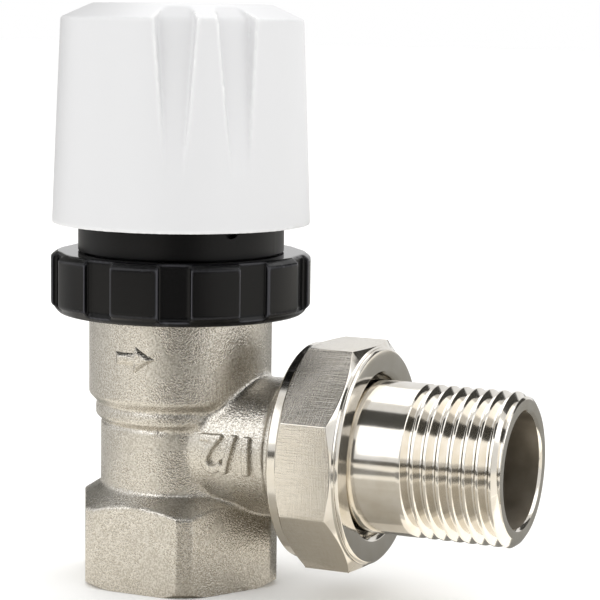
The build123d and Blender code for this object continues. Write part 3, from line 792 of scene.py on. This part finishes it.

# Glass-filled nylon: near-black and satin, glossier on its top face, with a faint mottle where the
# fibres lie under the skin. Its sharp upright edges are painted greyer, a painted highlight.
FIBRE = 0.3
FIBRE_DEPTH = 0.01
FIBRE_MOTTLE = 0.1
black_nylon, tree, place = start_material("black_glass_filled_nylon")
fibres = add(tree, "ShaderNodeTexNoise", {"Vector": place, "Scale": 1 / (FIBRE * MM), "Detail": 2.0})
bump = add(tree, "ShaderNodeBump",
           {"Height": fibres.outputs["Fac"], "Strength": 0.2, "Distance": FIBRE_DEPTH * MM})
skin = add(tree, "ShaderNodeNewGeometry")
facing = add(tree, "ShaderNodeSeparateXYZ", {"Vector": skin.outputs["Normal"]}).outputs["Z"]
slope = add(tree, "ShaderNodeMath", {0: facing}, operation="ABSOLUTE").outputs[0]
upright = add(tree, "ShaderNodeMapRange",
              {"Value": slope, "From Min": 0.1, "From Max": 0.45, "To Min": 1.0, "To Max": 0.25})
# Painted highlight: sharp edges, the upright ones most, are painted greyer than the faces.
rim = add(tree, "ShaderNodeMapRange",
          {"Value": skin.outputs["Pointiness"], "From Min": 0.508, "From Max": 0.535})
painted_rim_highlight = add(tree, "ShaderNodeMath", {0: rim.outputs["Result"], 1: upright.outputs["Result"]},
             operation="MULTIPLY")
shade = add(tree, "ShaderNodeMath", {0: fibres.outputs["Fac"], 1: FIBRE_MOTTLE, 2: painted_rim_highlight.outputs[0]},
            operation="MULTIPLY_ADD")
gloss = add(tree, "ShaderNodeMapRange",
            {"Value": facing, "From Min": 0.75, "From Max": 0.95, "To Min": 0.24, "To Max": 0.08})
finish_material(tree, {
    "Base Color": blend_colours(tree, shade.outputs[0], "#050506", "#404044", 0.05, 1.0),
    "Roughness": gloss.outputs["Result"],
    "Specular IOR Level": 0.2,
    "Normal": bump.outputs["Normal"],
})
dress(ring, black_nylon)
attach(ring, "ring")
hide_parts("mounting_ring")

# Head base: the same nylon, moulded as a collar and a threaded socket for the cap's hub. The ring's lip
# holds it. It has no painted highlight on its edges, so it stays black.
collar_nylon, tree, place = start_material("black_nylon_collar")
fibres = add(tree, "ShaderNodeTexNoise", {"Vector": place, "Scale": 1 / (FIBRE * MM), "Detail": 2.0})
finish_material(tree, {
    "Base Color": blend_colours(tree, fibres.outputs["Fac"], "#050506", "#0B0B0D"),
    "Roughness": 0.34,
    "Specular IOR Level": 0.2,
})
dress(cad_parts["head_base"], collar_nylon)

# Pusher: a button turned from stainless bar and ground. It sits loose in the cap's hub, which presses it
# down on the end of the stem without turning it.
dress(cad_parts["pusher"], ground_stainless)

# Cap: white ABS, moulded as a tapered shell with a beveled top and tapering finger flutes. Its hub
# screws into the base and drives the pusher. A flute's section is its height, floor width and floor radius.
CAP_LOW_Z = 50.74
CAP_FOOT_R = 18.19
CAP_SHOULDER_R = 16.97
CAP_SHOULDER_Z = 79.28
CAP_TOP_R = 12.56
CAP_TOP_Z = 81.28
FLUTE_ANGLES = (-65.8, -36.6, 114.2, 143.4)
FLUTE_TIP_Z = 57.6
FLUTE_END_Z = 80.95
FLUTE_SECTIONS = ((FLUTE_TIP_Z, 2.4, 17.9), (CAP_SHOULDER_Z, 5.0, 15.0), (FLUTE_END_Z, 3.2, 13.3))
FLUTE_DRAFT = 0.22
FLUTE_REACH = 3
CAP_HOLLOW_LOW_Z = 49
CAP_MOUTH_R = 16.39
CAP_KNEE_R = 16.1
CAP_ROOF_R = 13.2
CAP_ROOF_Z = 78.4
HUB_R = 9.9
HUB_LOW_Z = 60.5
PUSHER_HOLE_R = 2.65
PUSHER_HOLE_Z = 74.3
CAP_VOXEL = 0.25
CAP_SMOOTHING = 5
cap = turn("fluted_cap", [
    (0, CAP_LOW_Z),
    (CAP_FOOT_R, CAP_LOW_Z),
    (CAP_SHOULDER_R, CAP_SHOULDER_Z),
    (CAP_TOP_R, CAP_TOP_Z),
    (0, CAP_TOP_Z),
])


def flute_tool(angle):
    """A cutter for one finger flute: drafted sections from its low tip over the cap's shoulder."""
    deselect()
    bpy.ops.mesh.primitive_plane_add(size=MM)
    tool = bpy.context.object
    outer = CAP_FOOT_R + FLUTE_REACH
    for number, (z, width, floor_r) in enumerate(FLUTE_SECTIONS):
        if number:
            bpy.ops.object.mode_set(mode="EDIT")
            bpy.ops.mesh.extrude_region_move(TRANSFORM_OT_translate={"value": (0, 0, MM)})
            bpy.ops.object.mode_set(mode="OBJECT")
        wide = width / 2 + FLUTE_DRAFT * (outer - floor_r)
        corners = [(floor_r, -width / 2), (outer, -wide), (floor_r, width / 2), (outer, wide)]
        fresh = [v for v in tool.data.vertices if v.select]
        for vertex, (x, y) in zip(fresh, corners):
            vertex.co = (x * MM, y * MM, z * MM)
    pick(tool)
    bpy.ops.object.mode_set(mode="EDIT")
    bpy.ops.mesh.select_all(action="SELECT")
    bpy.ops.mesh.normals_make_consistent(inside=False)
    bpy.ops.object.mode_set(mode="OBJECT")
    return settle(tool, rotation=(0, 0, math.radians(angle)))


for angle in FLUTE_ANGLES:
    combine(cap, flute_tool(angle), "DIFFERENCE", "EXACT")
soft_skin(cap, CAP_VOXEL, CAP_SMOOTHING)
combine(cap, turn("cap_hollow", [
    (0, CAP_HOLLOW_LOW_Z),
    (CAP_MOUTH_R, CAP_HOLLOW_LOW_Z),
    (CAP_MOUTH_R, CAP_LOW_Z),
    (CAP_KNEE_R, FLUTE_TIP_Z),
    (CAP_ROOF_R, CAP_ROOF_Z),
    (HUB_R, CAP_ROOF_Z),
    (HUB_R, HUB_LOW_Z),
    (PUSHER_HOLE_R, HUB_LOW_Z),
    (PUSHER_HOLE_R, PUSHER_HOLE_Z),
    (0, PUSHER_HOLE_Z),
]), "DIFFERENCE")
smooth_over(cap)

# White ABS: satin from a finely etched mould, very slightly cool. Its rounded edges are painted whiter than
# its flats, a painted highlight. The etch is drawn coarser than the real one, which is too fine to show.
ETCH = 0.3
ETCH_DEPTH = 0.008
ETCH_MOTTLE = 0.08
EDGE_REACH = 0.6
white_abs, tree, place = start_material("white_abs")
etch = add(tree, "ShaderNodeTexNoise", {"Vector": place, "Scale": 1 / (ETCH * MM), "Detail": 2.0})
bump = add(tree, "ShaderNodeBump",
           {"Height": etch.outputs["Fac"], "Strength": 0.15, "Distance": ETCH_DEPTH * MM})
# Painted highlight: occlusion looked for inside the shell finds the rounded edges, which the colours paint
# whiter.
painted_edge_highlight = add(tree, "ShaderNodeAmbientOcclusion", {"Distance": EDGE_REACH * MM},
            inside=True, only_local=True, samples=8)
shade = add(tree, "ShaderNodeMath", {0: etch.outputs["Fac"], 1: ETCH_MOTTLE, 2: painted_edge_highlight.outputs["AO"]},
            operation="MULTIPLY_ADD")
finish_material(tree, {
    "Base Color": blend_colours(tree, shade.outputs[0], "#F0F0EF", "#D4D4D5", 0.55, 1.0),
    "Roughness": 0.36,
    "Normal": bump.outputs["Normal"],
})
dress(cap, white_abs)
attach(cap, "cap")
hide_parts("cap")

# Studio: a white floor and room with soft boxes to the left, to the right and behind. Cards lie and stand
# round the part where a real studio has a table, walls, a camera and a dark ceiling, and two darker table
# cards by the part are painted shadow. They only mirror in the part.
FLOOR_SIZE = 12
FLOOR_Z = -0.05
STUDIO_CENTRE = (0.02, 0, 0.03)
SOFT_BOX_DISTANCE = 0.8
PAPER = 0.00001
deselect()
bpy.ops.mesh.primitive_plane_add(size=FLOOR_SIZE, location=(0, 0, FLOOR_Z * MM))
floor = bpy.context.object
floor.name = "studio_floor"
floor_paint, tree, place = start_material("white_floor_paint")
mottle = add(tree, "ShaderNodeTexNoise", {"Vector": place, "Scale": 8.0, "Detail": 2.0})
finish_material(tree, {
    "Base Color": blend_colours(tree, mottle.outputs["Fac"], "#F8F8F7", "#FBFBFA"),
    "Roughness": 0.7,
    "Emission Color": (1, 1, 1, 1),
    "Emission Strength": 0.06,
})
dress(floor, floor_paint)

world = bpy.data.worlds.new("white_room")
world.use_nodes = True
world.node_tree.nodes["Background"].inputs["Color"].default_value = (1, 1, 1, 1)
world.node_tree.nodes["Background"].inputs["Strength"].default_value = 1.0
bpy.context.scene.world = world


def soft_box(name, azimuth, elevation, size, radiance):
    """A rectangular soft light of that brightness, stood off the part in a direction, in degrees, and
    facing it. The camera doesn't see it."""
    light = bpy.data.lights.new(name, "AREA")
    light.shape = "RECTANGLE"
    light.size, light.size_y = size
    light.energy = radiance * math.pi * size[0] * size[1]
    box = bpy.data.objects.new(name, light)
    bpy.context.scene.collection.objects.link(box)
    swing = Matrix.Rotation(math.radians(azimuth + 90), 4, "Z")
    tip = Matrix.Rotation(math.radians(90 - elevation), 4, "X")
    reach = Matrix.Translation((0, 0, SOFT_BOX_DISTANCE))
    box.matrix_world = Matrix.Translation(STUDIO_CENTRE) @ swing @ tip @ reach
    box.visible_camera = False


def mirror_card(name, shade, centre, size, tilt=0, swing=0, glow=0):
    """A card that only mirrors in the part: level, or tipped up by tilt and swung round, in degrees. One
    that glows keeps its shade under the part."""
    deselect()
    bpy.ops.mesh.primitive_plane_add(size=1)
    card = bpy.context.object
    card.name = name
    turn_up = Matrix.Rotation(math.radians(swing), 4, "Z") @ Matrix.Rotation(math.radians(tilt), 4, "X")
    card.matrix_world = Matrix.Translation(centre) @ turn_up @ Matrix.Diagonal((*size, 1, 1))
    paper, tree, place = start_material(name + "_paper")
    fleck = add(tree, "ShaderNodeTexNoise", {"Vector": place, "Scale": 6.0})
    finish_material(tree, {
        "Base Color": blend_colours(tree, fleck.outputs["Fac"], *shade),
        "Roughness": 0.9,
        "Emission Color": linear(shade[1]),
        "Emission Strength": glow,
    })
    dress(card, paper)
    card.visible_camera = card.visible_diffuse = card.visible_shadow = False


soft_box("left_soft_box", azimuth=-114, elevation=32, size=(0.5, 0.62), radiance=1.0)
soft_box("right_soft_box", azimuth=10, elevation=35, size=(0.5, 0.5), radiance=1.1)
soft_box("back_soft_box", azimuth=95, elevation=62, size=(0.8, 0.6), radiance=1.2)
mirror_card("dark_ceiling", ("#3C3C3A", "#444442"), (0.2125, -0.263, 0.6), (0.975, 0.326))
mirror_card("camera_side", ("#5C5B59", "#666563"), (0.3, -0.62, 0.2), (0.7, 0.5), tilt=90, swing=24)
mirror_card("table", ("#F6F1E8", "#F9F5EC"), (0, 0, -3 * PAPER), (1.6, 1.6), glow=0.08)
mirror_card("back_table", ("#868580", "#8D8C88"), (0.0525, 0.405, -2 * PAPER), (0.225, 0.8))
mirror_card("left_table", ("#BAB8B4", "#C1BFBB"), (-0.43, 0.35, -2 * PAPER), (0.74, 0.9))
# Painted shadow: these two darker patches of table by the part stand for its shadow, seen only in its
# reflection.
mirror_card("near_table_shadow", ("#CAC5BB", "#D2CDC3"), (0.0265, -0.0335, -PAPER), (0.043, 0.043))
mirror_card("nut_table_shadow", ("#CAC5BB", "#D2CDC3"), (0.019, -0.008, -PAPER), (0.028, 0.008))
mirror_card("low_bounce", ("#F6F1E8", "#F9F5EC"), (0.0695, 0, -PAPER), (0.073, 0.018), glow=0.75)
mirror_card("camera_shade", ("#7C7A75", "#868480"), (0.1555, -0.2794, 0), (0.165, 0.485), swing=24)
mirror_card("low_shade", ("#4A4844", "#54524E"), (-0.265, -0.639, 0.039), (0.9, 0.078), tilt=90, swing=-24)
mirror_card("left_wall", ("#6C6B67", "#747370"), (-0.62, 0.4, 0.45), (0.62, 0.9), tilt=90, swing=58)
mirror_card("back_stand", ("#33322F", "#3B3A37"), (0.302, 0.419, 0.25), (0.33, 0.21), tilt=90, swing=-33)

# Camera: a long lens close to level, turned toward the outlet. It is fitted to the outlines in the photo.
VIEW_AZIMUTH = 24.18
VIEW_ELEVATION = 7.43
VIEW_ROLL = 0.78
VIEW_DISTANCE = 305.02
VIEW_TARGET = (15.41, 6.92, 39.84)
LENS = 128.96
SENSOR = 36
NEAREST = 0.01
camera = bpy.data.objects.new("camera", bpy.data.cameras.new("camera"))
bpy.context.scene.collection.objects.link(camera)
camera.data.lens = LENS
camera.data.sensor_width = SENSOR
camera.data.clip_start = NEAREST
swing = Matrix.Rotation(math.radians(VIEW_AZIMUTH), 4, "Z")
tilt = Matrix.Rotation(math.radians(90 - VIEW_ELEVATION), 4, "X")
roll = Matrix.Rotation(math.radians(VIEW_ROLL), 4, "Z")
reach = Matrix.Translation((0, 0, VIEW_DISTANCE * MM))
camera.matrix_world = Matrix.Translation([MM * x for x in VIEW_TARGET]) @ swing @ tilt @ roll @ reach
bpy.context.scene.camera = camera
bpy.context.scene.view_settings.view_transform = "Standard"
